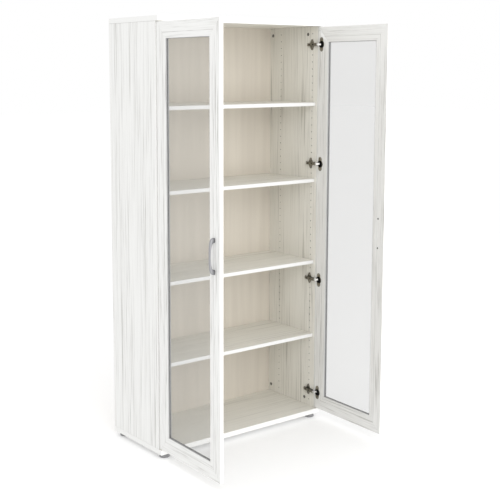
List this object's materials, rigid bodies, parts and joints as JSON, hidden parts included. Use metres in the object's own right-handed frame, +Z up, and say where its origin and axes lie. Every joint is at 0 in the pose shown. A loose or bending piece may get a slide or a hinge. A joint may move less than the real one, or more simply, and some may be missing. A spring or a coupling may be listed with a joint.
{
  "type": "glazed bookcase",
  "caption": "Tall free-standing bookcase in bleached pine board with shelves behind a pair of framed glass doors on concealed hinges.",
  "frame": {"origin": "middle of the floor rectangle under the whole object as it stands with both doors open", "axes": "+Z up, +X towards the right-hand side panel, +Y from the doors towards the back panel"},
  "size_m": [0.943, 0.811, 1.855],
  "materials": {
    "pine_board": "white bleached pine grain, satin melamine",
    "back_board": "warm beige coated hardboard",
    "foot_plastic": "moulded grey plastic",
    "cam_zinc": "dull die-cast zinc",
    "clear_glass": "clear float glass",
    "seal_rubber": "grey soft seal",
    "handle_metal": "satin grey",
    "hinge_steel": "nickel plated pressed steel"
  },
  "bodies": {
    "carcass": {"back_panel": "back_board", "bottom_board": "pine_board", "front_left_foot": "foot_plastic", "front_right_foot": "foot_plastic", "left_cam_1": "cam_zinc", "left_cam_2": "cam_zinc", "left_cam_3": "cam_zinc", "left_cam_4": "cam_zinc", "left_hinge_arm_1": "hinge_steel", "left_hinge_arm_2": "hinge_steel", "left_hinge_arm_3": "hinge_steel", "left_hinge_arm_4": "hinge_steel", "left_side_panel": "pine_board", "rear_left_foot": "foot_plastic", "rear_right_foot": "foot_plastic", "right_cam_1": "cam_zinc", "right_cam_2": "cam_zinc", "right_cam_3": "cam_zinc", "right_cam_4": "cam_zinc", "right_hinge_arm_1": "hinge_steel", "right_hinge_arm_2": "hinge_steel", "right_hinge_arm_3": "hinge_steel", "right_hinge_arm_4": "hinge_steel", "right_side_panel": "pine_board", "shelf_1": "pine_board", "shelf_2": "pine_board", "shelf_3": "pine_board", "shelf_4": "pine_board", "top_board": "pine_board"},
    "left_door": {"left_door_bottom_rail": "pine_board", "left_door_free_stile": "pine_board", "left_door_glass": "clear_glass", "left_door_hinge_stile": "pine_board", "left_door_seal": "seal_rubber", "left_door_top_rail": "pine_board", "left_handle": "handle_metal", "left_hinge_cup_1": "hinge_steel", "left_hinge_cup_2": "hinge_steel", "left_hinge_cup_3": "hinge_steel", "left_hinge_cup_4": "hinge_steel"},
    "right_door": {"right_door_bottom_rail": "pine_board", "right_door_free_stile": "pine_board", "right_door_glass": "clear_glass", "right_door_hinge_stile": "pine_board", "right_door_seal": "seal_rubber", "right_door_top_rail": "pine_board", "right_handle": "handle_metal", "right_hinge_cup_1": "hinge_steel", "right_hinge_cup_2": "hinge_steel", "right_hinge_cup_3": "hinge_steel", "right_hinge_cup_4": "hinge_steel"},
    "left_hinge_links": {"left_hinge_link_1": "hinge_steel", "left_hinge_link_2": "hinge_steel", "left_hinge_link_3": "hinge_steel", "left_hinge_link_4": "hinge_steel"},
    "right_hinge_links": {"right_hinge_link_1": "hinge_steel", "right_hinge_link_2": "hinge_steel", "right_hinge_link_3": "hinge_steel", "right_hinge_link_4": "hinge_steel"}
  },
  "joints": [
    {"name": "left_door_swing", "type": "hinge", "parent": "carcass", "child": "left_door", "pos_m": [-0.42649, 0.03301, 0.9375], "axis": [0, 0, -1], "range_deg": [-92, 18]},
    {"name": "right_door_swing", "type": "hinge", "parent": "carcass", "child": "right_door", "pos_m": [0.45451, 0.03301, 0.9375], "axis": [0, 0, 1], "range_deg": [-88, 22]},
    {"name": "left_link_swing", "type": "hinge", "parent": "carcass", "child": "left_hinge_links", "pos_m": [-0.40499, 0.03551, 0.9375], "axis": [0, 0, -1], "range_deg": [-6.76, 34.14]},
    {"name": "right_link_swing", "type": "hinge", "parent": "carcass", "child": "right_hinge_links", "pos_m": [0.43301, 0.03551, 0.9375], "axis": [0, 0, 1], "range_deg": [-8.24, 32.66]}
  ],
  "couplings": [
    {"joint": "left_link_swing", "follows": "left_door_swing", "ratio": -0.37},
    {"joint": "right_link_swing", "follows": "right_door_swing", "ratio": -0.37}
  ]
}
